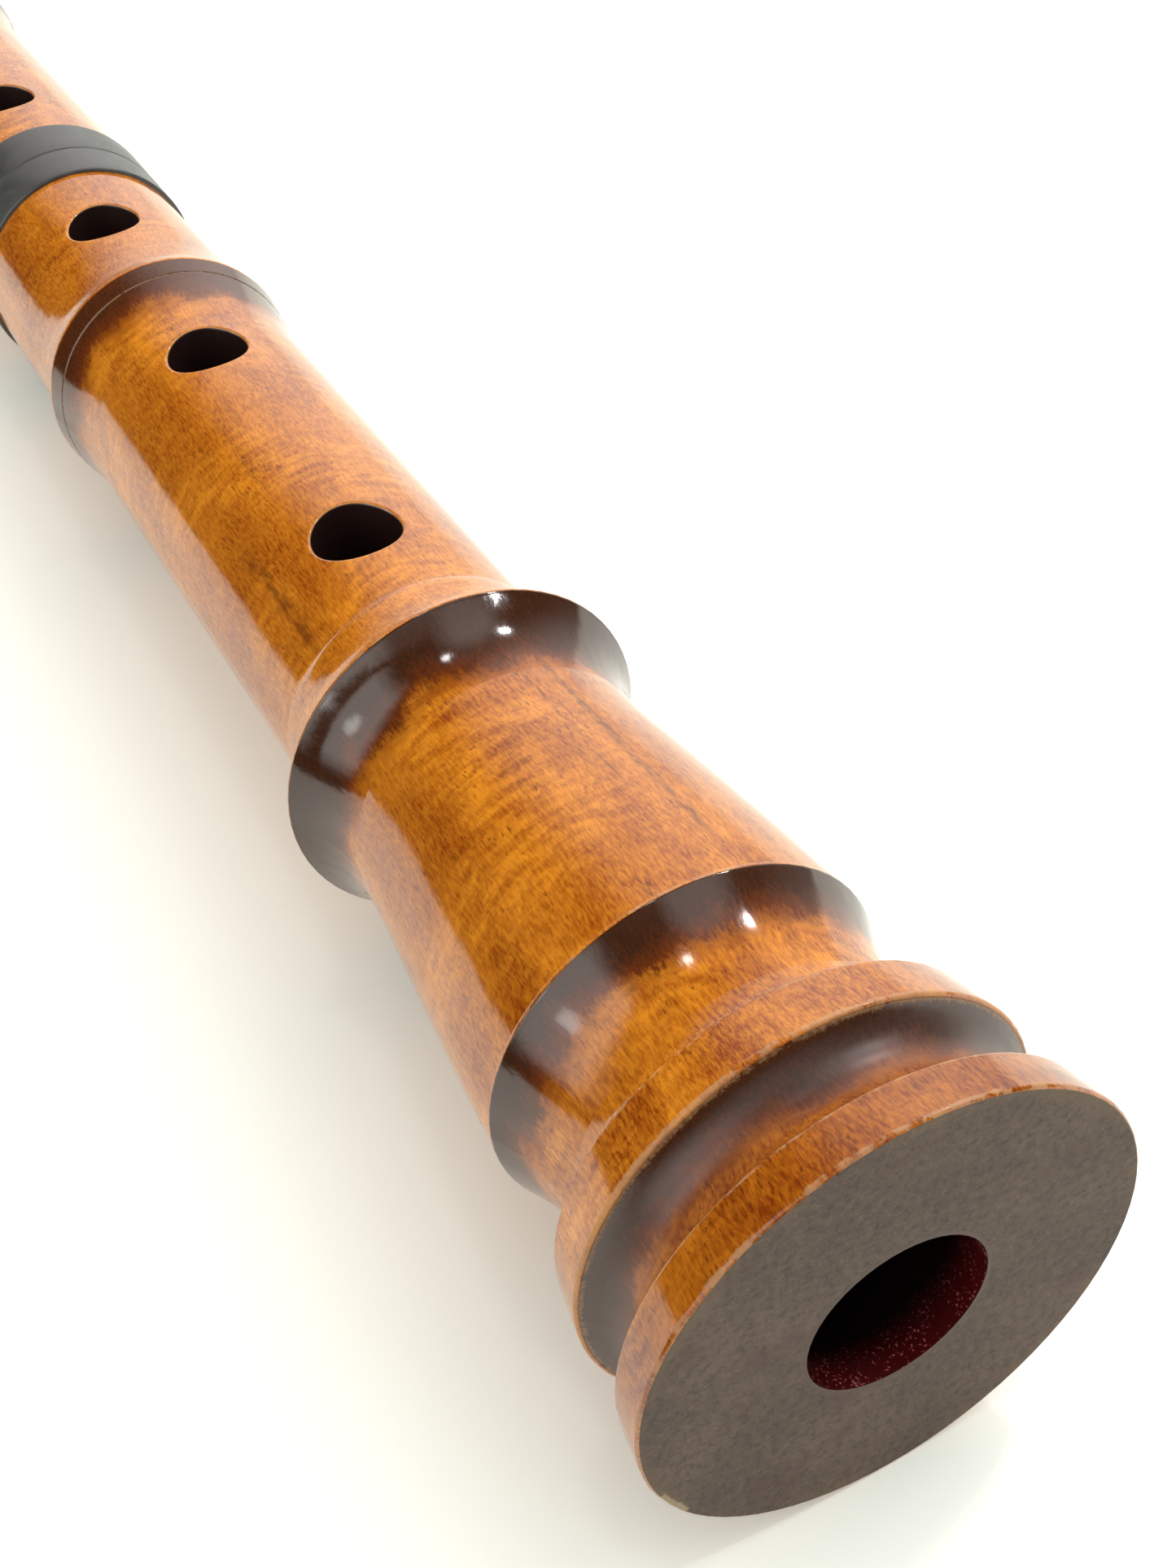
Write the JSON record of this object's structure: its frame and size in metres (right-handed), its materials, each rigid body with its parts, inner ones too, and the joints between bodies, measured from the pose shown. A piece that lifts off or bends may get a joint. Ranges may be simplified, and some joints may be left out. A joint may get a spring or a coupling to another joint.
{
  "type": "end-blown bamboo-style wooden flute",
  "caption": "End-blown wooden flute, turned like root-end bamboo, in two sections that pull apart at a ringed joint, with finger holes, a thumb hole and a blowing edge.",
  "frame": {"origin": "centre of the foot end face, on the bore axis", "axes": "+X along the bore from the foot to the mouth, +Z out through the finger holes, +Y across"},
  "size_m": [0.545, 0.0576, 0.0576],
  "materials": {
    "stained_maple": "gloss lacquer over shaded stain",
    "ring_black": "satin black",
    "bore_lacquer": "gloss dark red lacquer",
    "tenon_wood": "dark lacquered wood, fine satin",
    "inlay_horn": "polished black horn"
  },
  "bodies": {
    "lower_section": {"lower_tube": "stained_maple", "lower_joint_ring": "ring_black", "lower_bore_lining": "bore_lacquer"},
    "tenon": {"tenon_sleeve": "tenon_wood"},
    "upper_section": {"upper_tube": "stained_maple", "upper_joint_ring": "ring_black", "upper_bore_lining": "bore_lacquer", "socket_sleeve": "tenon_wood", "blowing_edge_inlay": "inlay_horn"}
  },
  "joints": [
    {"name": "twist", "type": "hinge", "parent": "lower_section", "child": "tenon", "pos_m": [0.254, 0, 0], "axis": [1, 0, 0], "continuous": true},
    {"name": "pull", "type": "slide", "parent": "tenon", "child": "upper_section", "axis": [1, 0, 0], "range_m": [0, 0.06]}
  ]
}
